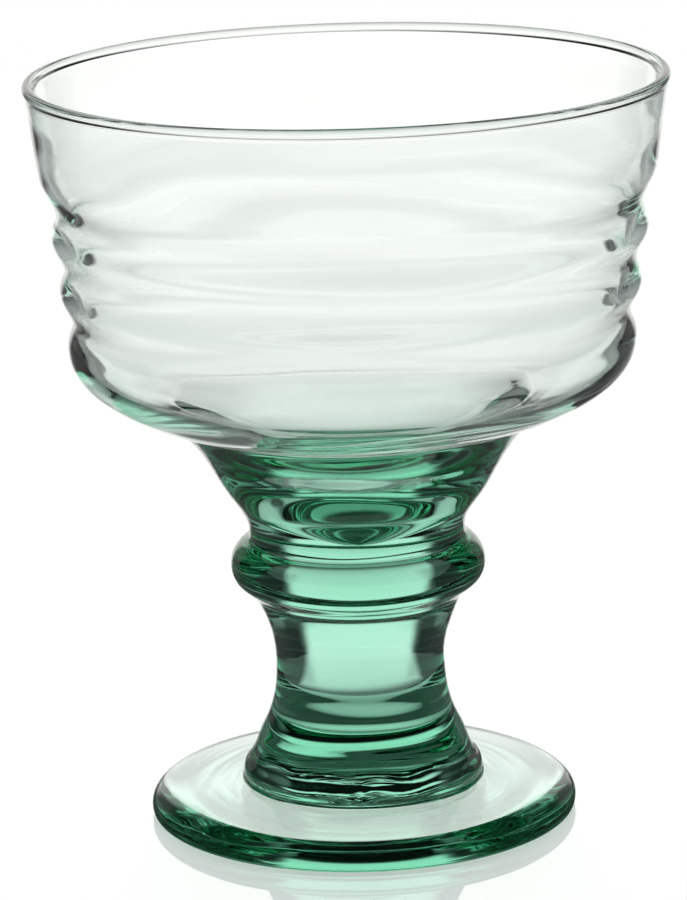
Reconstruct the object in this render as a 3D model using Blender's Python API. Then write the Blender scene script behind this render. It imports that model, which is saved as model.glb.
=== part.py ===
"""Sherbet glass in three gathers of green glass: a ringed bowl, a knopped stem and a round foot.

Metres, +Z up. The origin is on the table, on the axis of the glass. Each piece is turned about that
axis from a profile of (radius, height) points whose heights start at the piece's own seat, and each
piece stands on the one below: foot on the table, stem on the foot, bowl in the dished top of the stem.
"""

import math

import bmesh
import bpy

# Foot: a pressed disc that thins towards a rounded edge, on a flat ring round a shallow hollow
FOOT_RADIUS = 0.0329
FOOT_EDGE_HEIGHT = 0.0044
FOOT_EDGE_ROUND = 0.0039
FOOT_EDGE_FULLNESS = 0.49
FOOT_WIDEST_HEIGHT = 0.0018
FOOT_UNDER_ROUND = 0.0016
FOOT_UNDER_FULLNESS = 0.90
FOOT_RISE = 0.0011
FOOT_SEAT_MARGIN = 0.0010
FOOT_RING_WIDTH = 0.0050
FOOT_HOLLOW_DEPTH = 0.0011
FOOT_HOLLOW_FULLNESS = 2.65

# Stem, from its rolled pad up: ankle, waist and knop, whose dished top takes the bowl
PAD_RADIUS = 0.0186
PAD_ROLL = 0.0021
PAD_BASE_ANGLE = math.radians(-56)
PAD_TOP_ANGLE = math.radians(74)
PAD_TOP_FLARE = 0.66
ANKLE_WIDENING = 0.0022
ANKLE_HEIGHT = 0.0082
ANKLE_FLARE = 0.52
WAIST_RADIUS = 0.0130
WAIST_HEIGHT = 0.0187
KNOP_FOOT_RADIUS = 0.0157
KNOP_FOOT_DROP = 0.0053
KNOP_FOOT_FLARE = 0.45
KNOP_HEIGHT = 0.0339
KNOP_ROLL = 0.0044
KNOP_PROUD = 0.0031
KNOP_UNDER_ANGLE = math.radians(28)

# Hot joint between stem and bowl: the bowl's rounded drop sits in the stem's dish
NECK_RADIUS = 0.0165
JOINT_DEPTH = 0.0022
JOINT_GAP = 0.0003

# Bowl's funnel, from the neck up to the crease under the rounded bottom
NECK_LENGTH = 0.0012
FUNNEL_MID_RADIUS = 0.0202
FUNNEL_MID_RISE = 0.0067
FUNNEL_MID_FLARE = 0.60
FUNNEL_LENGTH = 0.0149
CREASE_RADIUS = 0.0283
CREASE_FLARE = 1.20

# Bowl's outside: a rounded bottom, rings that widen upwards, a flaring wall and a fire-polished rim
BOTTOM_DEPTH = 0.0150
BOTTOM_FULLNESS = 2.25
RING_COUNT = 3
RING_RADIUS = 0.0431
RING_WIDENING = 0.0010
RING_PITCH = 0.0084
GROOVE_DEPTH = 0.0009
GROOVE_RISE = 0.0034
SHOULDER_RISE = 0.0058
SHOULDER_WIDENING = 0.0023
WALL_RISE = 0.0125
WALL_FLARE = 0.138
RIM_BEAD = 0.0008
RIM_PROUD = 0.0003

# Bowl's inside: a thin wall, a belly that narrows to a throat, a shelf and a small pit in the funnel
WALL_THICKNESS = 0.0012
RING_THICKNESS = 0.0013
BELLY_LIFT = 0.0061
THROAT_RADIUS = 0.0190
THROAT_DROP = 0.0053
THROAT_SLOPE = math.radians(53)
THROAT_BEND_ABOVE = 0.0102
THROAT_BEND_BELOW = 0.0036
SHELF_RADIUS = 0.0103
SHELF_RISE = 0.0056
SHELF_SLOPE = math.radians(10)
SHELF_BEND_OUT = 0.0018
SHELF_BEND_IN = 0.0024
PIT_BEND = 0.0020
BASE_THICKNESS = 0.0033

# Facets round the axis, and facets along each stretch of a profile
SEGMENTS = 48
SPAN_STEPS = 3
CURVE_STEPS = 7
MERGE_DISTANCE = 1e-6
SHARP_ANGLE = math.radians(40)

# One green glass, which looks deeper where it is thicker
THIN_GLASS = (0.78, 0.89, 0.84, 1.0)
THICK_GLASS = (0.42, 0.75, 0.60, 1.0)
GLASS_ROUGHNESS = 0.02
GLASS_IOR = 1.5


def span(start, end, start_flare, end_flare, steps=SPAN_STEPS):
    """Points after start up to end on a cubic; a flare is the change of radius per unit of height."""
    (start_radius, start_height), (end_radius, end_height) = start, end
    rise = end_height - start_height
    points = []
    for step in range(1, steps + 1):
        share = step / steps
        eased = share * share * (3 - 2 * share)
        leave = share * (1 - share) ** 2 * start_flare * rise
        arrive = share * share * (share - 1) * end_flare * rise
        radius = start_radius + (end_radius - start_radius) * eased + leave + arrive
        points.append((radius, start_height + rise * share))
    return points


def arc(centre, radius, start_angle, end_angle, steps=CURVE_STEPS):
    """Points on a round of the given radius; angle 0 points away from the axis, and up is positive."""
    centre_radius, centre_height = centre
    points = []
    for step in range(steps + 1):
        angle = start_angle + (end_angle - start_angle) * step / steps
        points.append((centre_radius + radius * math.cos(angle), centre_height + radius * math.sin(angle)))
    return points


def bend(start, leave, arrive, end):
    """Points after start up to end on a Bezier curve with the two given handles."""
    points = []
    for step in range(1, CURVE_STEPS + 1):
        share = step / CURVE_STEPS
        rest = 1 - share
        weights = (rest**3, 3 * share * rest**2, 3 * share**2 * rest, share**3)
        corners = (start, leave, arrive, end)
        radius = sum(weight * corner[0] for weight, corner in zip(weights, corners))
        height = sum(weight * corner[1] for weight, corner in zip(weights, corners))
        points.append((radius, height))
    return points


def moved(point, distance, slope):
    """The point carried outwards and up by a distance along a slope."""
    return (point[0] + distance * math.cos(slope), point[1] + distance * math.sin(slope))


def dish():
    """The hot joint's face from the axis out to the neck, above its own lowest point."""
    points = []
    for step in range(SPAN_STEPS + 1):
        share = step / SPAN_STEPS
        points.append((NECK_RADIUS * share, JOINT_DEPTH * share * share))
    return points


def bottom_height(radius):
    """Height of the rounded bottom at a radius, above the lowest point that its curve would reach."""
    share = (radius / RING_RADIUS) ** BOTTOM_FULLNESS
    return BOTTOM_DEPTH * (1 - (1 - share) ** (1 / BOTTOM_FULLNESS))


def bottom_level():
    """Height above the bowl's seat of the lowest point that the rounded bottom's curve would reach."""
    return JOINT_DEPTH + NECK_LENGTH + FUNNEL_LENGTH


def crease():
    """Where the rounded bottom meets the funnel."""
    return (CREASE_RADIUS, bottom_level() + bottom_height(CREASE_RADIUS))


def ringed_wall(ring_inset, wall_inset):
    """One face of the wall from its top down to the lowest ring, set in from the outer face."""
    rings = []
    for ring in range(RING_COUNT):
        radius = RING_RADIUS + RING_WIDENING * ring
        height = bottom_level() + BOTTOM_DEPTH + RING_PITCH * ring
        rings.append((radius - ring_inset, height))
        rings.append((radius - GROOVE_DEPTH - wall_inset, height + GROOVE_RISE))
    groove_radius, groove_height = rings[-1]
    shoulder = (groove_radius + SHOULDER_WIDENING, groove_height + SHOULDER_RISE)
    points = [(shoulder[0] + WALL_FLARE * WALL_RISE, shoulder[1] + WALL_RISE)]
    points += span(points[0], shoulder, WALL_FLARE, WALL_FLARE)
    points += span(shoulder, rings[-1], WALL_FLARE, 0.0)
    for upper, lower in zip(rings[::-1], rings[-2::-1]):
        points += span(upper, lower, 0.0, 0.0)
    return points


def bowl_outside():
    """Down the wall, the rounded bottom, the funnel and the neck, and in under the drop to the axis."""
    neck = (NECK_RADIUS, JOINT_DEPTH + NECK_LENGTH)
    funnel_mid = (FUNNEL_MID_RADIUS, neck[1] + FUNNEL_MID_RISE)
    crease_turn = math.acos((CREASE_RADIUS / RING_RADIUS) ** (BOTTOM_FULLNESS / 2))
    points = ringed_wall(0.0, 0.0)
    for step in range(1, CURVE_STEPS):
        radius = RING_RADIUS * math.cos(crease_turn * step / CURVE_STEPS) ** (2 / BOTTOM_FULLNESS)
        points.append((radius, bottom_level() + bottom_height(radius)))
    points.append(crease())
    points += span(crease(), funnel_mid, CREASE_FLARE, FUNNEL_MID_FLARE, CURVE_STEPS)
    points += span(funnel_mid, neck, FUNNEL_MID_FLARE, 0.0)
    return points + dish()[::-1]


def bowl_inside():
    """Down the wall and the belly, through the throat, over the shelf and into the pit on the axis."""
    points = ringed_wall(RING_THICKNESS, WALL_THICKNESS)
    ring = points[-1]
    belly = (ring[0], bottom_level() + BELLY_LIFT)
    throat = (THROAT_RADIUS, crease()[1] - THROAT_DROP)
    shelf = (SHELF_RADIUS, BASE_THICKNESS + SHELF_RISE)
    throat_above = moved(throat, THROAT_BEND_ABOVE, THROAT_SLOPE)
    throat_below = moved(throat, -THROAT_BEND_BELOW, THROAT_SLOPE)
    shelf_out = moved(shelf, SHELF_BEND_OUT, SHELF_SLOPE)
    shelf_in = moved(shelf, -SHELF_BEND_IN, SHELF_SLOPE)
    points += bend(ring, belly, throat_above, throat)
    points += bend(throat, throat_below, shelf_out, shelf)
    return points + bend(shelf, shelf_in, (PIT_BEND, BASE_THICKNESS), (0.0, BASE_THICKNESS))


def bowl_profile():
    """Up the inside from the axis, over the rim's bead and down the outside to the axis."""
    outside = bowl_outside()
    wall_radius, wall_height = outside[0]
    bead_centre = (wall_radius + RIM_PROUD - RIM_BEAD, wall_height + RIM_BEAD)
    bead = arc(bead_centre, RIM_BEAD, math.radians(200), math.radians(-20))
    return bowl_inside()[::-1] + bead + outside


def knop_top():
    """Height above the stem's base of the knop's upper edge, where the neck begins."""
    return KNOP_HEIGHT + math.sqrt(KNOP_ROLL**2 - (KNOP_ROLL - KNOP_PROUD) ** 2)


def stem_profile():
    """Out along the dish from the axis, down the knop, waist and pad, and in along the base."""
    dish_level = knop_top() - JOINT_DEPTH
    points = [(radius, dish_level + height) for radius, height in dish()]
    knop_centre = (NECK_RADIUS + KNOP_PROUD - KNOP_ROLL, KNOP_HEIGHT)
    knop_start = math.acos((KNOP_ROLL - KNOP_PROUD) / KNOP_ROLL)
    knop = arc(knop_centre, KNOP_ROLL, knop_start, -KNOP_UNDER_ANGLE)
    knop_foot = (KNOP_FOOT_RADIUS, KNOP_HEIGHT - KNOP_FOOT_DROP)
    waist = (WAIST_RADIUS, WAIST_HEIGHT)
    ankle = (WAIST_RADIUS + ANKLE_WIDENING, ANKLE_HEIGHT)
    pad_centre = (PAD_RADIUS - PAD_ROLL, -PAD_ROLL * math.sin(PAD_BASE_ANGLE))
    pad = arc(pad_centre, PAD_ROLL, PAD_TOP_ANGLE, PAD_BASE_ANGLE)
    points += knop[1:]
    points += span(knop[-1], knop_foot, math.tan(KNOP_UNDER_ANGLE), KNOP_FOOT_FLARE, CURVE_STEPS)
    points += span(knop_foot, waist, KNOP_FOOT_FLARE, 0.0, CURVE_STEPS)
    points += span(waist, ankle, 0.0, -ANKLE_FLARE, CURVE_STEPS)
    points += span(ankle, pad[0], -ANKLE_FLARE, -PAD_TOP_FLARE)
    return points + pad[1:] + [(0.0, 0.0)]


def foot_profile():
    """Out along the stem's seat and the sloping top, round the edge, and in along the ring and hollow."""
    seat_height = FOOT_EDGE_HEIGHT + FOOT_RISE
    seat_radius = PAD_RADIUS + FOOT_SEAT_MARGIN
    shoulder = (FOOT_RADIUS - FOOT_EDGE_ROUND, FOOT_EDGE_HEIGHT)
    widest = (FOOT_RADIUS, FOOT_WIDEST_HEIGHT)
    ring = (FOOT_RADIUS - FOOT_UNDER_ROUND, 0.0)
    over = (shoulder[0] + FOOT_EDGE_FULLNESS * FOOT_EDGE_ROUND, FOOT_EDGE_HEIGHT)
    above = (FOOT_RADIUS, widest[1] + FOOT_EDGE_FULLNESS * (FOOT_EDGE_HEIGHT - widest[1]))
    below = (FOOT_RADIUS, widest[1] - FOOT_UNDER_FULLNESS * widest[1])
    under = (ring[0] + FOOT_UNDER_FULLNESS * FOOT_UNDER_ROUND, 0.0)
    edge = [shoulder] + bend(shoulder, over, above, widest) + bend(widest, below, under, ring)
    hollow_radius = ring[0] - FOOT_RING_WIDTH
    hollow = []
    for step in range(CURVE_STEPS + 1):
        share = 1 - step / CURVE_STEPS
        hollow.append((hollow_radius * share, FOOT_HOLLOW_DEPTH * (1 - share**FOOT_HOLLOW_FULLNESS)))
    return [(0.0, seat_height), (seat_radius, seat_height)] + edge + hollow


def glass(name, colour):
    material = bpy.data.materials.new(name)
    material.use_nodes = True
    shader = material.node_tree.nodes["Principled BSDF"]
    shader.inputs["Base Color"].default_value = colour
    shader.inputs["Roughness"].default_value = GLASS_ROUGHNESS
    shader.inputs["Metallic"].default_value = 0.0
    shader.inputs["IOR"].default_value = GLASS_IOR
    shader.inputs["Transmission Weight"].default_value = 1.0
    return material


def turned(name, profile, height, material, parent):
    """A piece spun from its profile, standing at the given height."""
    spun = bmesh.new()
    points = [spun.verts.new((radius, 0.0, level)) for radius, level in profile]
    edges = [spun.edges.new(pair) for pair in zip(points, points[1:])]
    full_turn = 2 * math.pi
    axis = (0.0, 0.0, 1.0)
    bmesh.ops.spin(spun, geom=points + edges, axis=axis, angle=full_turn, steps=SEGMENTS, use_merge=True)
    bmesh.ops.remove_doubles(spun, verts=spun.verts, dist=MERGE_DISTANCE)
    bmesh.ops.recalc_face_normals(spun, faces=spun.faces)
    mesh = bpy.data.meshes.new(name)
    spun.to_mesh(mesh)
    spun.free()
    mesh.shade_smooth()
    mesh.set_sharp_from_angle(angle=SHARP_ANGLE)
    mesh.materials.append(material)
    piece = bpy.data.objects.new(name, mesh)
    piece.location.z = height
    piece.parent = parent
    bpy.context.scene.collection.objects.link(piece)
    return piece


def main():
    for old in list(bpy.data.objects):
        bpy.data.objects.remove(old)
    whole = bpy.data.objects.new("sherbet_glass", None)
    bpy.context.scene.collection.objects.link(whole)
    stem_seat = FOOT_EDGE_HEIGHT + FOOT_RISE
    bowl_seat = stem_seat + knop_top() - JOINT_DEPTH + JOINT_GAP
    turned("foot", foot_profile(), 0.0, glass("foot_glass", THICK_GLASS), whole)
    turned("stem", stem_profile(), stem_seat, glass("stem_glass", THICK_GLASS), whole)
    turned("bowl", bowl_profile(), bowl_seat, glass("bowl_glass", THIN_GLASS), whole)


main()
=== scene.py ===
"""Looks of the green sherbet glass: bowl, stem and foot as clear coloured glass in a bright-field studio."""

import math

import bpy
import numpy as np
from mathutils import Matrix, Vector


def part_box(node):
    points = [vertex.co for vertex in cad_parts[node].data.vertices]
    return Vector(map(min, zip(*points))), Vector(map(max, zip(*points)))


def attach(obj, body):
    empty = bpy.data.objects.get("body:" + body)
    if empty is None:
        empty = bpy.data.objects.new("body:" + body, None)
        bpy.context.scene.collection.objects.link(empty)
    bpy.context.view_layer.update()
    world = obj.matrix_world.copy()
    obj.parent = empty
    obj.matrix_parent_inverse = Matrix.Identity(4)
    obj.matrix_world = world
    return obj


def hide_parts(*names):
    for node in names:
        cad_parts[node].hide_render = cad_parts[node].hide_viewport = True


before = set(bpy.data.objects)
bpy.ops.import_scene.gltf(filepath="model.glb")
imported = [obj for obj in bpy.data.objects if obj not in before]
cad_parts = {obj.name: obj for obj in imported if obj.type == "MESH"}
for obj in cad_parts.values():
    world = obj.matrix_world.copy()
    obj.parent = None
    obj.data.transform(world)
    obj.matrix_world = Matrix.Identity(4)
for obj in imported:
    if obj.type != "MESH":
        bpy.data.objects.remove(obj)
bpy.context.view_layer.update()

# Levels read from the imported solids: the stem's base, the stem's upper edge and the bowl's lowest point
STEM_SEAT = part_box("stem")[0].z
NECK_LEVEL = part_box("stem")[1].z
BOWL_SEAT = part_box("bowl")[0].z

# Foot
FOOT_RADIUS = 0.0329
FOOT_EDGE_HEIGHT = 0.0044
FOOT_EDGE_ROUND = 0.0039
FOOT_EDGE_FULLNESS = 0.49
FOOT_WIDEST_HEIGHT = 0.0018
FOOT_UNDER_ROUND = 0.0016
FOOT_UNDER_FULLNESS = 0.90
FOOT_SEAT_MARGIN = 0.0006
FOOT_RING_WIDTH = 0.0050
FOOT_HOLLOW_DEPTH = 0.0011
FOOT_HOLLOW_FULLNESS = 2.65

# Stem
PAD_RADIUS = 0.0186
PAD_ROLL = 0.0022
PAD_BASE_ANGLE = math.radians(-30)
PAD_TOP_ANGLE = math.radians(58)
PAD_TOP_FLARE = 0.72
ANKLE_WIDENING = 0.0022
ANKLE_HEIGHT = 0.0082
ANKLE_FLARE = 0.52
WAIST_RADIUS = 0.0130
WAIST_HEIGHT = 0.0187
KNOP_FOOT_RADIUS = 0.0157
KNOP_FOOT_DROP = 0.0053
KNOP_FOOT_FLARE = 0.45
KNOP_HEIGHT = 0.0339
KNOP_ROLL = 0.0044
KNOP_PROUD = 0.0031
KNOP_UNDER_ANGLE = math.radians(28)

# Hot joint between stem and bowl
NECK_RADIUS = 0.0165
JOINT_DEPTH = 0.0022
SEAM = 0.00001

# Bowl's outside
NECK_LENGTH = 0.0012
FUNNEL_MID_RADIUS = 0.0202
FUNNEL_MID_RISE = 0.0067
FUNNEL_MID_FLARE = 0.60
FUNNEL_LENGTH = 0.0149
CREASE_RADIUS = 0.0283
CREASE_FLARE = 1.20
BOTTOM_DEPTH = 0.0150
BOTTOM_FULLNESS = 2.25
RING_COUNT = 3
RING_RADIUS = 0.0431
RING_WIDENING = 0.0010
RING_PITCH = 0.0084
GROOVE_DEPTH = 0.0009
GROOVE_RISE = 0.0034
SHOULDER_RISE = 0.0058
SHOULDER_WIDENING = 0.0023
WALL_RISE = 0.0125
WALL_FLARE = 0.138
RIM_BEAD = 0.0008
RIM_BEAD_START = math.radians(200)
RIM_BEAD_END = math.radians(-20)
RIM_PROUD = 0.0003

# Bowl's inside
WALL_THICKNESS = 0.00113
RING_THICKNESS = 0.00143
BELLY_LIFT = 0.0061
THROAT_RADIUS = 0.0190
THROAT_DROP = 0.0053
THROAT_SLOPE = math.radians(53)
THROAT_BEND_ABOVE = 0.0102
THROAT_BEND_BELOW = 0.0036
SHELF_RADIUS = 0.0103
SHELF_RISE = 0.0056
SHELF_SLOPE = math.radians(10)
SHELF_BEND_OUT = 0.0018
SHELF_BEND_IN = 0.0024
PIT_BEND = 0.0020
BASE_THICKNESS = 0.0033

# Mesh fineness: steps round the axis, steps along a curve, and the spacing of points along a profile
AROUND = 192
FINE_STEPS = 40
SPACING = 0.00025
BOWL_SPACING = 0.00045
JOINT_SPACING = 0.0010
MERGE_DISTANCE = 1e-9
SHARP_ANGLE = math.radians(50)

# Fire polish: the width over which a profile is smoothed, and how many widths the smoothing takes in
POLISH = 0.00048
RIM_POLISH = 0.00015
POLISH_REACH = 3

# Hand-made unevenness: slow wander, tool marks along the turning, and the crumpled fold of the pad, all
# of which calm down towards the fused faces, the axis and the table
UNEVEN_SEED = 7
WANDER_HEIGHT = {"bowl": 0.00003, "stem": 0.00003, "foot": 0.00002}
WANDER_LENGTHS = (0.009, 0.026)
WANDER_LOBES = (1, 5)
WANDER_COUNT = 8
MARK_SLOPE = {"bowl": 0.004, "stem": 0.008, "foot": 0.014}
MARK_LENGTHS = (0.0010, 0.0040)
MARK_SWAY = 2.5
MARK_COUNT = 14
MARK_FOCUS = 3.0
FOLD_HEIGHT = 0.00009
FOLD_LOBES = (3, 13)
FOLD_COUNT = 12
FOLD_LEVEL = 0.0026
FOLD_WIDTH = 0.0014
FOLD_PLACE = math.radians(285)
CALM_LENGTH = 0.0012
TABLE_CALM = 0.0002

# Glass: absorption per metre is density times one minus the colour, and haze comes in faint patches
GLASS_IOR = 1.5
FUSED_IOR = 1.0
ABSORPTION_COLOUR = (0.074, 0.771, 0.520, 1.0)
ABSORPTION_DENSITY = 34.0
HAZE_SCALE = 140.0
HAZE_DETAIL = 3.0
HAZE_START = 0.45
HAZE_END = 0.75
HAZE_ROUGHNESS = 0.004
SHADOW_TINTS = {
    "bowl_glass": (0.95, 0.97, 0.96, 1.0),
    "stem_glass": (0.72, 0.80, 0.76, 1.0),
    "foot_glass": (0.80, 0.86, 0.83, 1.0),
}

# Light paths through many layers of glass
MAX_BOUNCES = 40
GLOSSY_BOUNCES = 24
TRANSMISSION_BOUNCES = 32

# Camera: fitted to the rim and foot ellipses of the photograph, whose frame is 687 by 900
IMAGE_HEIGHT = 900
FOCAL_PIXELS = 4531.0
SENSOR = 36.0
CAMERA_PLACE = Vector((-0.0018, -0.6701, 0.2274))
CAMERA_PITCH = math.radians(14.28)
CAMERA_ROLL = math.radians(-1.5)

# Studio: a dim room, with a warm white for what the glass sees and a plain white for the camera
ROOM_LEVEL = 0.006
WARM_WHITE = (1.0, 0.995, 0.965, 1.0)
PLAIN_WHITE = (1.0, 1.0, 1.0, 1.0)

# Floor: white to the camera, with a gloss that grows as the view grazes
FLOOR_SIZE = 6.0
FLOOR_GAP = 0.0001
FLOOR_ALBEDO = 0.85
# In the glass the floor's diffuse colour is painted darker: painted shade that keeps the lamp's light on the
# floor out of the glass
FLOOR_GLASS_SHADE_ALBEDO = 0.10
FLOOR_LIFT = 0.56
FLOOR_GLOSS_LOW = 0.05
FLOOR_GLOSS_HIGH = 0.37
FLOOR_GLOSS_START = 0.50
FLOOR_GLOSS_END = 0.66
FLOOR_ROUGHNESS = 0.03

# Painted light that the floor sends into the glass, a painted sheen that grows by how far the view grazes it
FLOOR_GLOW_STEEP = 0.44
FLOOR_GLOW_GRAZING = 1.06
FLOOR_GLOW_FULL = 0.92
FLOOR_FAR_START = 0.745
FLOOR_FAR_END = 0.805
FLOOR_FAR_GAIN = 0.10

# Where that painted light falls off: painted shade beside and in front of a lit wedge behind the glass, a
# painted shadow in a ring round the foot, and a painted shadow of the stem within a painted lit disc under
# the foot
LIT_ANGLE = math.radians(25)
LIT_SOFTNESS = math.radians(6)
SIDE_SHARE = 0.07
FRONT_SHARE = 0.0
FRONT_START = math.radians(70)
FRONT_END = math.radians(100)
# Painted shadow in a ring round the foot
NEAR_BACK_SHARE = 0.10
NEAR_SIDE_SHARE = 0.03
NEAR_START = 0.035
NEAR_END = 0.050
# Painted pool of light on the floor under the foot
LIT_DISC = 0.0305
LIT_DISC_SOFTNESS = 0.0015
LIT_DISC_GAIN = 1.12
# Painted shadow of the stem, a little behind the axis, within the lit disc under the foot
STEM_SHADOW_SHARE = 0.08
STEM_SHADOW_BACK = 0.010
STEM_SHADOW_START = 0.010
STEM_SHADOW_END = 0.015

# Backdrop: a glow that fades towards the top, sooner in reflections, and towards the sides
BACK_LEVEL = 1.18
BACK_DISTANCE = 0.7
BACK_WIDTH = 1.4
BACK_HEIGHT = 0.52
BACK_SINK = 0.01
BACK_FADE_START = 0.16
BACK_FADE_END = 0.30
BACK_GLOSS_SHARE = 0.6
BACK_SIDE_START = 0.27
BACK_SIDE_END = 0.37
BACK_SIDE_SHARE = 0.22

# Flags: black panels at both sides, with a painted glowing band at the height of the bowl and a soft far end
FLAG_OUT = 0.075
FLAG_BACK = 0.18
FLAG_LENGTH = 0.42
FLAG_HEIGHT = 0.5
FLAG_SOFTNESS = 0.04
FLAG_LEVEL_HIGH = 0.56
FLAG_HIGH_START = 0.044
FLAG_HIGH_END = 0.095
FLAG_TOP_START = 0.102
FLAG_TOP_END = 0.120
FLAG_LEVEL_FAR = 0.03
FLAG_FAR_START = 0.02
FLAG_FAR_END = 0.06
FLAG_REAR_SHARE = 0.3
FLAG_REAR_START = 0.090
FLAG_REAR_END = 0.110

# Lamp above and behind the glass
LAMP_BACK = 0.35
LAMP_HEIGHT = 0.60
LAMP_SIZE = 0.60
LAMP_POWER = 4.0


def span(start, end, start_flare, end_flare, steps=FINE_STEPS):
    """Points after start up to end on a cubic; a flare is the change of radius per unit of height."""
    (start_radius, start_height), (end_radius, end_height) = start, end
    rise = end_height - start_height
    points = []
    for step in range(1, steps + 1):
        share = step / steps
        eased = share * share * (3 - 2 * share)
        leave = share * (1 - share) ** 2 * start_flare * rise
        arrive = share * share * (share - 1) * end_flare * rise
        radius = start_radius + (end_radius - start_radius) * eased + leave + arrive
        points.append((radius, start_height + rise * share))
    return points


def arc(centre, radius, start_angle, end_angle, steps=FINE_STEPS):
    """Points on a round of the given radius; angle 0 points away from the axis, and up is positive."""
    points = []
    for step in range(steps + 1):
        angle = start_angle + (end_angle - start_angle) * step / steps
        points.append((centre[0] + radius * math.cos(angle), centre[1] + radius * math.sin(angle)))
    return points


def bend(start, leave, arrive, end, steps=FINE_STEPS):
    """Points after start up to end on a Bezier curve with the two given handles."""
    points = []
    for step in range(1, steps + 1):
        share = step / steps
        rest = 1 - share
        weights = (rest**3, 3 * share * rest**2, 3 * share**2 * rest, share**3)
        corners = (start, leave, arrive, end)
        radius = sum(weight * corner[0] for weight, corner in zip(weights, corners))
        height = sum(weight * corner[1] for weight, corner in zip(weights, corners))
        points.append((radius, height))
    return points


def moved(point, distance, slope):
    """The point carried outwards and up by a distance along a slope."""
    return (point[0] + distance * math.cos(slope), point[1] + distance * math.sin(slope))


def bottom_level():
    """Height of the lowest point that the rounded bottom's curve would reach."""
    return BOWL_SEAT + JOINT_DEPTH + NECK_LENGTH + FUNNEL_LENGTH


def bottom_height(radius):
    """Height of the rounded bottom at a radius, above its lowest point."""
    share = (radius / RING_RADIUS) ** BOTTOM_FULLNESS
    return BOTTOM_DEPTH * (1 - (1 - share) ** (1 / BOTTOM_FULLNESS))


def crease():
    """Where the rounded bottom meets the funnel."""
    return (CREASE_RADIUS, bottom_level() + bottom_height(CREASE_RADIUS))


def ringed_wall(ring_inset, wall_inset):
    """One face of the wall from its top down to the lowest ring, set in from the outer face."""
    rings = []
    for ring in range(RING_COUNT):
        radius = RING_RADIUS + RING_WIDENING * ring
        height = bottom_level() + BOTTOM_DEPTH + RING_PITCH * ring
        rings.append((radius - ring_inset, height))
        rings.append((radius - GROOVE_DEPTH - wall_inset, height + GROOVE_RISE))
    groove_radius, groove_height = rings[-1]
    shoulder = (groove_radius + SHOULDER_WIDENING, groove_height + SHOULDER_RISE)
    points = [(shoulder[0] + WALL_FLARE * WALL_RISE, shoulder[1] + WALL_RISE)]
    points += span(points[0], shoulder, WALL_FLARE, WALL_FLARE)
    points += span(shoulder, rings[-1], WALL_FLARE, 0.0)
    for upper, lower in zip(rings[::-1], rings[-2::-1]):
        points += span(upper, lower, 0.0, 0.0)
    return points


def bowl_outside():
    """Down the wall, the rounded bottom, the funnel and the neck to the hot joint."""
    neck = (NECK_RADIUS, BOWL_SEAT + JOINT_DEPTH + NECK_LENGTH)
    funnel_mid = (FUNNEL_MID_RADIUS, neck[1] + FUNNEL_MID_RISE)
    crease_turn = math.acos((CREASE_RADIUS / RING_RADIUS) ** (BOTTOM_FULLNESS / 2))
    points = ringed_wall(0.0, 0.0)
    for step in range(1, FINE_STEPS):
        radius = RING_RADIUS * math.cos(crease_turn * step / FINE_STEPS) ** (2 / BOTTOM_FULLNESS)
        points.append((radius, bottom_level() + bottom_height(radius)))
    points.append(crease())
    points += span(crease(), funnel_mid, CREASE_FLARE, FUNNEL_MID_FLARE)
    points += span(funnel_mid, neck, FUNNEL_MID_FLARE, 0.0)
    return points + [(NECK_RADIUS, NECK_LEVEL)]


def bowl_inside():
    """Down the wall and the belly, through the throat, over the shelf and into the pit on the axis."""
    points = ringed_wall(RING_THICKNESS, WALL_THICKNESS)
    ring = points[-1]
    pit_level = BOWL_SEAT + BASE_THICKNESS
    belly = (ring[0], bottom_level() + BELLY_LIFT)
    throat = (THROAT_RADIUS, crease()[1] - THROAT_DROP)
    shelf = (SHELF_RADIUS, pit_level + SHELF_RISE)
    throat_above = moved(throat, THROAT_BEND_ABOVE, THROAT_SLOPE)
    throat_below = moved(throat, -THROAT_BEND_BELOW, THROAT_SLOPE)
    shelf_out = moved(shelf, SHELF_BEND_OUT, SHELF_SLOPE)
    shelf_in = moved(shelf, -SHELF_BEND_IN, SHELF_SLOPE)
    points += bend(ring, belly, throat_above, throat)
    points += bend(throat, throat_below, shelf_out, shelf)
    return points + bend(shelf, shelf_in, (PIT_BEND, pit_level), (0.0, pit_level))


def stem_side():
    """Down the knop, the waist, the ankle and the rolled pad to the foot."""
    knop_centre = (NECK_RADIUS + KNOP_PROUD - KNOP_ROLL, STEM_SEAT + KNOP_HEIGHT)
    knop_start = math.acos((KNOP_ROLL - KNOP_PROUD) / KNOP_ROLL)
    knop = arc(knop_centre, KNOP_ROLL, knop_start, -KNOP_UNDER_ANGLE)
    knop_foot = (KNOP_FOOT_RADIUS, knop_centre[1] - KNOP_FOOT_DROP)
    waist = (WAIST_RADIUS, STEM_SEAT + WAIST_HEIGHT)
    ankle = (WAIST_RADIUS + ANKLE_WIDENING, STEM_SEAT + ANKLE_HEIGHT)
    pad_centre = (PAD_RADIUS - PAD_ROLL, STEM_SEAT - PAD_ROLL * math.sin(PAD_BASE_ANGLE))
    pad = arc(pad_centre, PAD_ROLL, PAD_TOP_ANGLE, PAD_BASE_ANGLE)
    points = knop[1:]
    points += span(knop[-1], knop_foot, math.tan(KNOP_UNDER_ANGLE), KNOP_FOOT_FLARE)
    points += span(knop_foot, waist, KNOP_FOOT_FLARE, 0.0)
    points += span(waist, ankle, 0.0, -ANKLE_FLARE)
    points += span(ankle, pad[0], -ANKLE_FLARE, -PAD_TOP_FLARE)
    return points + pad[1:]


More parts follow.
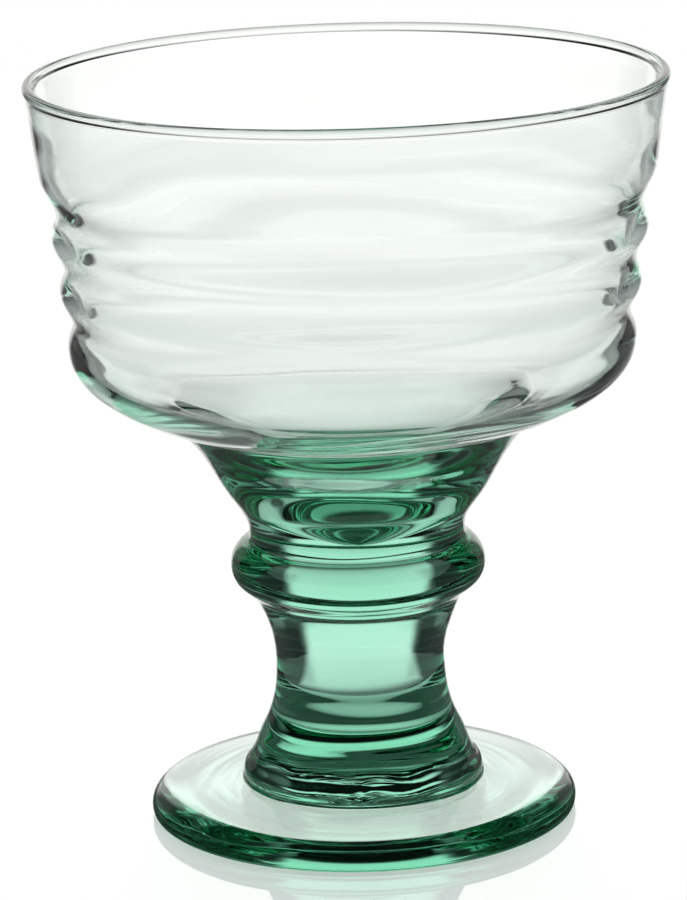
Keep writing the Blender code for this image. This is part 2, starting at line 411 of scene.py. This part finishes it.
def foot_side():
    """Out along the foot's sloping top, round its edge, and in along the resting ring and the hollow."""
    shoulder = (FOOT_RADIUS - FOOT_EDGE_ROUND, FOOT_EDGE_HEIGHT)
    widest = (FOOT_RADIUS, FOOT_WIDEST_HEIGHT)
    ring = (FOOT_RADIUS - FOOT_UNDER_ROUND, 0.0)
    over = (shoulder[0] + FOOT_EDGE_FULLNESS * FOOT_EDGE_ROUND, FOOT_EDGE_HEIGHT)
    above = (FOOT_RADIUS, widest[1] + FOOT_EDGE_FULLNESS * (FOOT_EDGE_HEIGHT - widest[1]))
    below = (FOOT_RADIUS, widest[1] - FOOT_UNDER_FULLNESS * widest[1])
    under = (ring[0] + FOOT_UNDER_FULLNESS * FOOT_UNDER_ROUND, 0.0)
    points = [(PAD_RADIUS + FOOT_SEAT_MARGIN, STEM_SEAT), shoulder]
    points += bend(shoulder, over, above, widest) + bend(widest, below, under, ring)
    hollow_radius = ring[0] - FOOT_RING_WIDTH
    for step in range(FINE_STEPS + 1):
        share = 1 - step / FINE_STEPS
        points.append((hollow_radius * share, FOOT_HOLLOW_DEPTH * (1 - share**FOOT_HOLLOW_FULLNESS)))
    return points


def even(points, spacing):
    """The same line with points at an even spacing."""
    line = np.array(points, float)
    steps = np.hypot(*np.diff(line, axis=0).T)
    line = line[np.r_[True, steps > MERGE_DISTANCE]]
    along = np.r_[0.0, np.cumsum(np.hypot(*np.diff(line, axis=0).T))]
    count = max(2, int(round(along[-1] / spacing)) + 1)
    at = np.linspace(0.0, along[-1], count)
    return np.stack([np.interp(at, along, line[:, 0]), np.interp(at, along, line[:, 1])], 1)


def polished(points, width, spacing=SPACING):
    """An even line smoothed as fire-polished glass is; its two ends stay."""
    line = even(points, spacing)
    reach = int(round(POLISH_REACH * width / spacing))
    weights = np.exp(-0.5 * (np.arange(-reach, reach + 1) * spacing / width) ** 2)
    weights /= weights.sum()
    before = 2 * line[0] - line[reach:0:-1]
    after = 2 * line[-1] - line[-2:-reach - 2:-1]
    padded = np.concatenate([before, line, after])
    smooth = np.stack([np.convolve(padded[:, k], weights, "valid") for k in range(2)], 1)
    smooth[0], smooth[-1] = line[0], line[-1]
    return smooth


def nearest(line, point):
    """Index of the line's point that is nearest to a given point."""
    return int(np.argmin(np.hypot(line[:, 0] - point[0], line[:, 1] - point[1])))


def joint_face(edge, depth):
    """A fused face from its edge in to the axis, where it lies lower by the given depth."""
    radius, level = edge
    share = even([(1.0, 0.0), (0.0, 0.0)], JOINT_SPACING / radius)[:, 0]
    return np.stack([radius * share, level - depth * (1 - share * share)], 1)


def glass_runs():
    """Profile runs of the three pieces as (points, is_joint), each from the axis round to the axis."""
    outer = bowl_outside()
    whole = polished(outer + stem_side() + foot_side(), POLISH)
    pad_edge = PAD_RADIUS - PAD_ROLL + PAD_ROLL * math.cos(PAD_BASE_ANGLE)
    neck_cut = nearest(whole, (NECK_RADIUS, NECK_LEVEL))
    foot_cut = nearest(whole, (pad_edge, STEM_SEAT))
    bowl_side = even(whole[: neck_cut + 1], BOWL_SPACING)
    stem_line = whole[neck_cut : foot_cut + 1].copy()
    foot_line = whole[foot_cut:].copy()
    bowl_side[-1, 1] += SEAM
    stem_line[-1, 1] += SEAM
    inside = even(polished(bowl_inside(), POLISH)[::-1], BOWL_SPACING)
    wall_radius, wall_height = outer[0]
    bead_centre = (wall_radius + RIM_PROUD - RIM_BEAD, wall_height + RIM_BEAD)
    bead = arc(bead_centre, RIM_BEAD, RIM_BEAD_START, RIM_BEAD_END)
    rim = polished([tuple(inside[-1])] + bead + [tuple(bowl_side[0])], RIM_POLISH)
    drop = joint_face(bowl_side[-1], JOINT_DEPTH)
    dish = joint_face(stem_line[0], JOINT_DEPTH)[::-1]
    base = joint_face(stem_line[-1], 0.0)
    seat = joint_face(foot_line[0], 0.0)[::-1]
    return {
        "bowl": [(inside, 0.0), (rim, 0.0), (bowl_side, 0.0), (drop, 1.0)],
        "stem": [(dish, 1.0), (stem_line, 0.0), (base, 1.0)],
        "foot": [(seat, 1.0), (foot_line, 0.0)],
    }


def unevenness(node, line, still, turn):
    """Height of the surface above the true turned shape, for each profile point and turn angle."""
    chance = np.random.default_rng(UNEVEN_SEED + len(node) + len(line))
    along = np.r_[0.0, np.cumsum(np.hypot(*np.diff(line, axis=0).T))][:, None]
    turn = turn[None, :]
    height = np.zeros((len(line), turn.shape[1]))
    for _ in range(WANDER_COUNT):
        lobes = chance.integers(WANDER_LOBES[0], WANDER_LOBES[1] + 1)
        length = chance.uniform(*WANDER_LENGTHS)
        start, phase = chance.uniform(0, 2 * np.pi, 2)
        wave = np.cos(lobes * turn + phase) * np.cos(2 * np.pi * along / length + start)
        height += WANDER_HEIGHT[node] / math.sqrt(WANDER_COUNT) * 2 * wave
    for _ in range(MARK_COUNT):
        length = math.exp(chance.uniform(*np.log(MARK_LENGTHS)))
        start, phase = chance.uniform(0, 2 * np.pi, 2)
        place = chance.uniform(0, 2 * np.pi)
        share = np.exp(MARK_FOCUS * (np.cos(turn - place) - 1))
        rise = MARK_SLOPE[node] * length / (2 * np.pi)
        height += rise * share * np.cos(2 * np.pi * along / length + start + MARK_SWAY * np.sin(turn + phase))
    if node == "stem":
        fold = np.exp(-(((line[:, 1:] - STEM_SEAT - FOLD_LEVEL) / FOLD_WIDTH) ** 2))
        for _ in range(FOLD_COUNT):
            lobes = chance.integers(FOLD_LOBES[0], FOLD_LOBES[1] + 1)
            start, phase = chance.uniform(0, 2 * np.pi, 2)
            lean = chance.uniform(-1.0, 1.0) / FOLD_WIDTH
            wave = np.cos(lobes * turn + phase + lean * along)
            height += FOLD_HEIGHT / math.sqrt(FOLD_COUNT) * fold * wave * (1 + np.cos(turn - FOLD_PLACE))
    calm = np.min(np.abs(along - along[still].T), axis=1)
    share = np.clip(calm / CALM_LENGTH, 0.0, 1.0)
    return height * (share * share * (3 - 2 * share))[:, None]


def turned(name, node, runs):
    """Mesh spun from runs of (points, is_joint); the first and last points lie on the axis."""
    line = [runs[0][0][:1]]
    joint = []
    for points, is_joint in runs:
        line.append(points[1:])
        joint += [is_joint] * (len(points) - 1)
    line = np.concatenate(line)
    rows = len(line) - 2
    turn = np.linspace(0, 2 * np.pi, AROUND, endpoint=False)
    ahead = np.gradient(line, axis=0)
    out = np.stack([-ahead[:, 1], ahead[:, 0]], 1) / np.hypot(*ahead.T)[:, None]
    still = np.r_[True, np.array(joint) > 0.5] | np.r_[np.array(joint) > 0.5, True]
    still |= line[:, 1] < TABLE_CALM
    height = unevenness(node, line, still, turn)
    radius = (line[:, :1] + out[:, :1] * height)[1:-1]
    rings = np.empty((rows, AROUND, 3))
    rings[..., 0] = radius * np.cos(turn)
    rings[..., 1] = radius * np.sin(turn)
    rings[..., 2] = (line[:, 1:] + out[:, 1:] * height)[1:-1]
    ends = np.array([[0, 0, line[0, 1]], [0, 0, line[-1, 1]]])
    verts = np.concatenate([rings.reshape(-1, 3), ends])
    first, last = rows * AROUND, rows * AROUND + 1
    here = np.arange(AROUND)
    after = np.roll(here, -1)
    faces = [(first, a, b) for a, b in zip(here.tolist(), after.tolist())]
    for row in range(rows - 1):
        low, high = row * AROUND, (row + 1) * AROUND
        quads = np.stack([low + here, high + here, high + after, low + after], 1)
        faces += quads.tolist()
    top = (rows - 1) * AROUND
    faces += [(top + a, last, top + b) for a, b in zip(here.tolist(), after.tolist())]
    mesh = bpy.data.meshes.new(name)
    mesh.from_pydata(verts.tolist(), [], faces)
    mark = mesh.attributes.new("joint", "FLOAT", "FACE")
    mark.data.foreach_set("value", np.repeat(np.array(joint, np.float32), AROUND))
    mesh.shade_smooth()
    mesh.set_sharp_from_angle(angle=SHARP_ANGLE)
    piece = bpy.data.objects.new(name, mesh)
    bpy.context.scene.collection.objects.link(piece)
    return piece


def math_node(tree, operation, first, second, third=None):
    """A Math node; each input is an output to link or a number."""
    node = tree.nodes.new("ShaderNodeMath")
    node.operation = operation
    for socket, value in zip(node.inputs, (first, second, third)):
        if isinstance(value, bpy.types.NodeSocket):
            tree.links.new(value, socket)
        elif value is not None:
            socket.default_value = value
    return node.outputs["Value"]


def ramp_node(tree, value, start, end, low, high):
    """A smooth Map Range node that takes start to low and end to high."""
    node = tree.nodes.new("ShaderNodeMapRange")
    node.interpolation_type = "SMOOTHSTEP"
    for name, number in (("From Min", start), ("From Max", end), ("To Min", low), ("To Max", high)):
        node.inputs[name].default_value = number
    tree.links.new(value, node.inputs["Value"])
    return node.outputs["Result"]


def distance(tree, right, back):
    """How far a place on the floor is from the origin of its two coordinates."""
    squares = math_node(tree, "MULTIPLY", back, back)
    return math_node(tree, "SQRT", math_node(tree, "MULTIPLY_ADD", right, right, squares), None)


def glass(name):
    """Clear green glass that lets lamp light through to the floor; fused faces bend no light."""
    material = bpy.data.materials.new(name)
    material.use_nodes = True
    tree = material.node_tree
    shader = tree.nodes["Principled BSDF"]
    shader.inputs["Base Color"].default_value = PLAIN_WHITE
    shader.inputs["Transmission Weight"].default_value = 1.0
    mark = tree.nodes.new("ShaderNodeAttribute")
    mark.attribute_name = "joint"
    index = tree.nodes.new("ShaderNodeMapRange")
    index.inputs["To Min"].default_value = GLASS_IOR
    index.inputs["To Max"].default_value = FUSED_IOR
    tree.links.new(mark.outputs["Fac"], index.inputs["Value"])
    tree.links.new(index.outputs["Result"], shader.inputs["IOR"])
    place = tree.nodes.new("ShaderNodeTexCoord")
    haze = tree.nodes.new("ShaderNodeTexNoise")
    haze.inputs["Scale"].default_value = HAZE_SCALE
    haze.inputs["Detail"].default_value = HAZE_DETAIL
    tree.links.new(place.outputs["Object"], haze.inputs["Vector"])
    rough = ramp_node(tree, haze.outputs["Fac"], HAZE_START, HAZE_END, 0.0, HAZE_ROUGHNESS)
    open_face = math_node(tree, "SUBTRACT", 1.0, mark.outputs["Fac"])
    tree.links.new(math_node(tree, "MULTIPLY", rough, open_face), shader.inputs["Roughness"])
    ray = tree.nodes.new("ShaderNodeLightPath")
    clear = tree.nodes.new("ShaderNodeBsdfTransparent")
    clear.inputs["Color"].default_value = SHADOW_TINTS[name]
    pick = tree.nodes.new("ShaderNodeMixShader")
    tree.links.new(ray.outputs["Is Shadow Ray"], pick.inputs["Fac"])
    tree.links.new(shader.outputs["BSDF"], pick.inputs[1])
    tree.links.new(clear.outputs["BSDF"], pick.inputs[2])
    absorb = tree.nodes.new("ShaderNodeVolumeAbsorption")
    absorb.inputs["Color"].default_value = ABSORPTION_COLOUR
    absorb.inputs["Density"].default_value = ABSORPTION_DENSITY
    out = tree.nodes["Material Output"]
    tree.links.new(pick.outputs["Shader"], out.inputs["Surface"])
    tree.links.new(absorb.outputs["Volume"], out.inputs["Volume"])
    return material


def emitter(name):
    """A material that only glows; its strength is linked by what uses it."""
    material = bpy.data.materials.new(name)
    material.use_nodes = True
    tree = material.node_tree
    tree.nodes.clear()
    light = tree.nodes.new("ShaderNodeEmission")
    out = tree.nodes.new("ShaderNodeOutputMaterial")
    tree.links.new(light.outputs["Emission"], out.inputs["Surface"])
    return material


def own_coordinates(tree):
    """The x and y of the piece's own coordinates."""
    place = tree.nodes.new("ShaderNodeTexCoord")
    split = tree.nodes.new("ShaderNodeSeparateXYZ")
    tree.links.new(place.outputs["Object"], split.inputs["Vector"])
    return split.outputs["X"], split.outputs["Y"]


def warm_to_glass(tree, ray, light):
    """Gives a light a warm white in the glass and a plain white in the camera."""
    pick = tree.nodes.new("ShaderNodeMixRGB")
    pick.inputs["Color1"].default_value = WARM_WHITE
    pick.inputs["Color2"].default_value = PLAIN_WHITE
    tree.links.new(ray.outputs["Is Camera Ray"], pick.inputs["Fac"])
    tree.links.new(pick.outputs["Color"], light.inputs["Color"])


def backdrop_material():
    """White glow that fades towards the top and the sides, and is plain white to the camera."""
    material = emitter("backdrop_white")
    tree = material.node_tree
    light = tree.nodes["Emission"]
    ray = tree.nodes.new("ShaderNodeLightPath")
    across, up = own_coordinates(tree)
    height = math_node(tree, "ADD", up, BACK_HEIGHT / 2 - BACK_SINK)
    through = ray.outputs["Is Transmission Ray"]
    share = math_node(tree, "MULTIPLY_ADD", through, 1 - BACK_GLOSS_SHARE, BACK_GLOSS_SHARE)
    seen = math_node(tree, "MULTIPLY", height, share)
    fade = ramp_node(tree, seen, BACK_FADE_START, BACK_FADE_END, BACK_LEVEL, ROOM_LEVEL)
    aside = math_node(tree, "ABSOLUTE", across, None)
    spread = ramp_node(tree, aside, BACK_SIDE_START, BACK_SIDE_END, 1.0, BACK_SIDE_SHARE)
    soft = math_node(tree, "MULTIPLY", fade, spread)
    rest = math_node(tree, "SUBTRACT", 1.0, soft)
    level = math_node(tree, "MULTIPLY_ADD", ray.outputs["Is Camera Ray"], rest, soft)
    tree.links.new(level, light.inputs["Strength"])
    warm_to_glass(tree, ray, light)
    return material


def flag_material(name):
    """Black, with a painted glowing band; it shows in the glass, not as a first reflection in the floor."""
    material = emitter(name)
    tree = material.node_tree
    along, up = own_coordinates(tree)
    edge = FLAG_LENGTH / 2
    middle = FLAG_BACK - edge
    low = FLAG_HEIGHT / 2
    # Painted glow: a band at the height of the bowl, weaker at the back, and a faint glow on the part behind
    # the glass
    high = ramp_node(tree, up, FLAG_HIGH_START - low, FLAG_HIGH_END - low, 0.0, FLAG_LEVEL_HIGH)
    far = ramp_node(tree, along, FLAG_FAR_START - middle, FLAG_FAR_END - middle, 0.0, FLAG_LEVEL_FAR)
    rear = ramp_node(tree, along, FLAG_REAR_START - middle, FLAG_REAR_END - middle, 1.0, FLAG_REAR_SHARE)
    top = ramp_node(tree, up, FLAG_TOP_START - low, FLAG_TOP_END - low, 1.0, 0.0)
    painted_glow = math_node(tree, "MAXIMUM", math_node(tree, "MULTIPLY", high, rear), far)
    level = math_node(tree, "MULTIPLY", painted_glow, top)
    tree.links.new(level, tree.nodes["Emission"].inputs["Strength"])
    thin = ramp_node(tree, along, edge - FLAG_SOFTNESS, edge, 0.0, 1.0)
    # Depths are whole numbers, so each limit lies half-way between two of them
    ray = tree.nodes.new("ShaderNodeLightPath")
    outside = math_node(tree, "LESS_THAN", ray.outputs["Transmission Depth"], 0.5)
    first = math_node(tree, "LESS_THAN", ray.outputs["Ray Depth"], 1.5)
    bounced = math_node(tree, "MULTIPLY", first, ray.outputs["Is Glossy Ray"])
    mirrored = math_node(tree, "MULTIPLY", bounced, outside)
    clear = tree.nodes.new("ShaderNodeBsdfTransparent")
    pick = tree.nodes.new("ShaderNodeMixShader")
    tree.links.new(math_node(tree, "MAXIMUM", thin, mirrored), pick.inputs["Fac"])
    tree.links.new(tree.nodes["Emission"].outputs["Emission"], pick.inputs[1])
    tree.links.new(clear.outputs["BSDF"], pick.inputs[2])
    tree.links.new(pick.outputs["Shader"], tree.nodes["Material Output"].inputs["Surface"])
    return material


def panel(name, width, height, place, turn, material, parent):
    """A flat rectangle of the stage."""
    mesh = bpy.data.meshes.new(name)
    x, y = width / 2, height / 2
    mesh.from_pydata([(-x, -y, 0), (x, -y, 0), (x, y, 0), (-x, y, 0)], [], [(0, 1, 2, 3)])
    mesh.materials.append(material)
    piece = bpy.data.objects.new(name, mesh)
    bpy.context.scene.collection.objects.link(piece)
    piece.location = place
    piece.rotation_euler = turn
    piece.parent = parent
    return piece


def make_camera():
    """Camera at the photograph's place, pitch and roll."""
    data = bpy.data.cameras.new("camera")
    data.sensor_width = SENSOR
    data.lens = FOCAL_PIXELS / IMAGE_HEIGHT * SENSOR
    camera = bpy.data.objects.new("camera", data)
    bpy.context.scene.collection.objects.link(camera)
    tilt = Matrix.Rotation(math.pi / 2 - CAMERA_PITCH, 4, "X")
    roll = Matrix.Rotation(CAMERA_ROLL, 4, "Z")
    camera.matrix_world = Matrix.Translation(CAMERA_PLACE) @ tilt @ roll
    bpy.context.scene.camera = camera
    return camera


def make_world():
    """Dim room round the glass, plain white where the camera looks past the stage."""
    world = bpy.data.worlds.new("studio")
    bpy.context.scene.world = world
    world.use_nodes = True
    tree = world.node_tree
    ray = tree.nodes.new("ShaderNodeLightPath")
    pick = tree.nodes.new("ShaderNodeMapRange")
    pick.inputs["To Min"].default_value = ROOM_LEVEL
    pick.inputs["To Max"].default_value = 1.0
    back = tree.nodes["Background"]
    back.inputs["Color"].default_value = PLAIN_WHITE
    tree.links.new(ray.outputs["Is Camera Ray"], pick.inputs["Value"])
    tree.links.new(pick.outputs["Result"], back.inputs["Strength"])


def floor_glow(tree, ray):
    """Painted light the floor sends into the glass: most at a grazing view, behind the glass and under the
    foot.
    """
    view = tree.nodes.new("ShaderNodeLayerWeight").outputs["Facing"]
    grazing = ramp_node(tree, view, 0.0, FLOOR_GLOW_FULL, FLOOR_GLOW_STEEP, FLOOR_GLOW_GRAZING)
    far = ramp_node(tree, view, FLOOR_FAR_START, FLOOR_FAR_END, 0.0, FLOOR_FAR_GAIN)
    level = math_node(tree, "ADD", grazing, far)
    right, back = own_coordinates(tree)
    side = math_node(tree, "ABSOLUTE", right, None)
    angle = math_node(tree, "ARCTAN2", side, back)
    start, end = LIT_ANGLE - LIT_SOFTNESS / 2, LIT_ANGLE + LIT_SOFTNESS / 2
    # Painted shade beside and in front of the painted lit wedge behind the glass
    beside = ramp_node(tree, angle, start, end, 0.0, 1 - SIDE_SHARE)
    before = ramp_node(tree, angle, FRONT_START, FRONT_END, 0.0, SIDE_SHARE - FRONT_SHARE)
    unlit = math_node(tree, "ADD", beside, before)
    reach = distance(tree, right, back)
    away = ramp_node(tree, reach, LIT_DISC, LIT_DISC + LIT_DISC_SOFTNESS, 0.0, 1.0)
    # Painted shadow in a ring round the foot
    close = ramp_node(tree, reach, NEAR_START, NEAR_END, 1.0, 0.0)
    depth = ramp_node(tree, angle, start, end, 1 - NEAR_BACK_SHARE, 1 - NEAR_SIDE_SHARE)
    near = math_node(tree, "MULTIPLY", close, depth)
    dark = math_node(tree, "MULTIPLY", math_node(tree, "MAXIMUM", unlit, near), away)
    # Painted shadow of the stem on the floor under the foot
    stem_shade = distance(tree, right, math_node(tree, "SUBTRACT", back, STEM_SHADOW_BACK))
    stem_shadow = ramp_node(tree, stem_shade, STEM_SHADOW_START, STEM_SHADOW_END, STEM_SHADOW_SHARE, LIT_DISC_GAIN)
    # The painted pool of light under the foot, with the stem's painted shadow in it
    under = math_node(tree, "MINIMUM", stem_shadow, ramp_node(tree, away, 0.0, 1.0, LIT_DISC_GAIN, 1.0))
    shade = math_node(tree, "MULTIPLY", math_node(tree, "SUBTRACT", 1.0, dark), under)
    in_glass = math_node(tree, "MAXIMUM", ray.outputs["Is Glossy Ray"], ray.outputs["Is Transmission Ray"])
    return math_node(tree, "MULTIPLY", math_node(tree, "MULTIPLY", level, shade), in_glass)


def make_floor(rig):
    """White floor with a soft gloss, lifted to white for the camera with its shadow kept."""
    material = bpy.data.materials.new("floor_white")
    material.use_nodes = True
    tree = material.node_tree
    tree.nodes.clear()
    ray = tree.nodes.new("ShaderNodeLightPath")
    diffuse = tree.nodes.new("ShaderNodeBsdfDiffuse")
    # Diffuse colour white to the camera, and painted darker as painted shade for the glass
    white = ramp_node(tree, ray.outputs["Is Camera Ray"], 0.0, 1.0, FLOOR_GLASS_SHADE_ALBEDO, FLOOR_ALBEDO)
    tree.links.new(white, diffuse.inputs["Color"])
    glow = tree.nodes.new("ShaderNodeEmission")
    base = tree.nodes.new("ShaderNodeAddShader")
    gloss = tree.nodes.new("ShaderNodeBsdfGlossy")
    gloss.inputs["Roughness"].default_value = FLOOR_ROUGHNESS
    view = tree.nodes.new("ShaderNodeLayerWeight").outputs["Facing"]
    edge = ramp_node(tree, view, FLOOR_GLOSS_START, FLOOR_GLOSS_END, FLOOR_GLOSS_LOW, FLOOR_GLOSS_HIGH)
    top = tree.nodes.new("ShaderNodeMixShader")
    out = tree.nodes.new("ShaderNodeOutputMaterial")
    # The floor glows: a lift to white for the camera, and painted light and shade for the glass
    light = math_node(tree, "MULTIPLY_ADD", ray.outputs["Is Camera Ray"], FLOOR_LIFT, floor_glow(tree, ray))
    tree.links.new(light, glow.inputs["Strength"])
    warm_to_glass(tree, ray, glow)
    tree.links.new(diffuse.outputs["BSDF"], base.inputs[0])
    tree.links.new(glow.outputs["Emission"], base.inputs[1])
    tree.links.new(edge, top.inputs["Fac"])
    tree.links.new(base.outputs["Shader"], top.inputs[1])
    tree.links.new(gloss.outputs["BSDF"], top.inputs[2])
    tree.links.new(top.outputs["Shader"], out.inputs["Surface"])
    panel("floor", FLOOR_SIZE, FLOOR_SIZE, (0, 0, -FLOOR_GAP), (0, 0, 0), material, rig)


def make_rig(camera):
    """Floor, backdrop, flags and lamp on a set that faces the camera, as with a glass on a turntable."""
    rig = bpy.data.objects.new("rig", None)
    bpy.context.scene.collection.objects.link(rig)
    face = rig.constraints.new("LOCKED_TRACK")
    face.target = camera
    face.track_axis = "TRACK_NEGATIVE_Y"
    face.lock_axis = "LOCK_Z"
    make_floor(rig)
    upright = (math.pi / 2, 0, 0)
    place = (0, BACK_DISTANCE, BACK_HEIGHT / 2 - BACK_SINK)
    panel("backdrop", BACK_WIDTH, BACK_HEIGHT, place, upright, backdrop_material(), rig)
    sideways = (math.pi / 2, 0, math.pi / 2)
    for side, name in ((-1, "flag_left"), (1, "flag_right")):
        place = (side * FLAG_OUT, FLAG_BACK - FLAG_LENGTH / 2, FLAG_HEIGHT / 2)
        flag = panel(name, FLAG_LENGTH, FLAG_HEIGHT, place, sideways, flag_material(name), rig)
        flag.visible_camera = False
        flag.visible_shadow = False
    lamp_data = bpy.data.lights.new("top_lamp", "AREA")
    lamp_data.energy = LAMP_POWER
    lamp_data.size = LAMP_SIZE
    lamp = bpy.data.objects.new("top_lamp", lamp_data)
    bpy.context.scene.collection.objects.link(lamp)
    lamp.location = (0, LAMP_BACK, LAMP_HEIGHT)
    lamp.visible_camera = False
    lamp.visible_glossy = False
    lamp.visible_transmission = False
    lamp.parent = rig


def main():
    """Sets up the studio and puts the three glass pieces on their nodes."""
    scene = bpy.context.scene
    scene.view_settings.view_transform = "Standard"
    scene.cycles.max_bounces = MAX_BOUNCES
    scene.cycles.glossy_bounces = GLOSSY_BOUNCES
    scene.cycles.transmission_bounces = TRANSMISSION_BOUNCES
    camera = make_camera()
    make_world()
    make_rig(camera)
    for node, runs in glass_runs().items():
        name = node + "_glass"
        piece = turned(name, node, runs)
        piece.data.materials.append(glass(name))
        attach(piece, "root")
        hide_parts(node)


main()
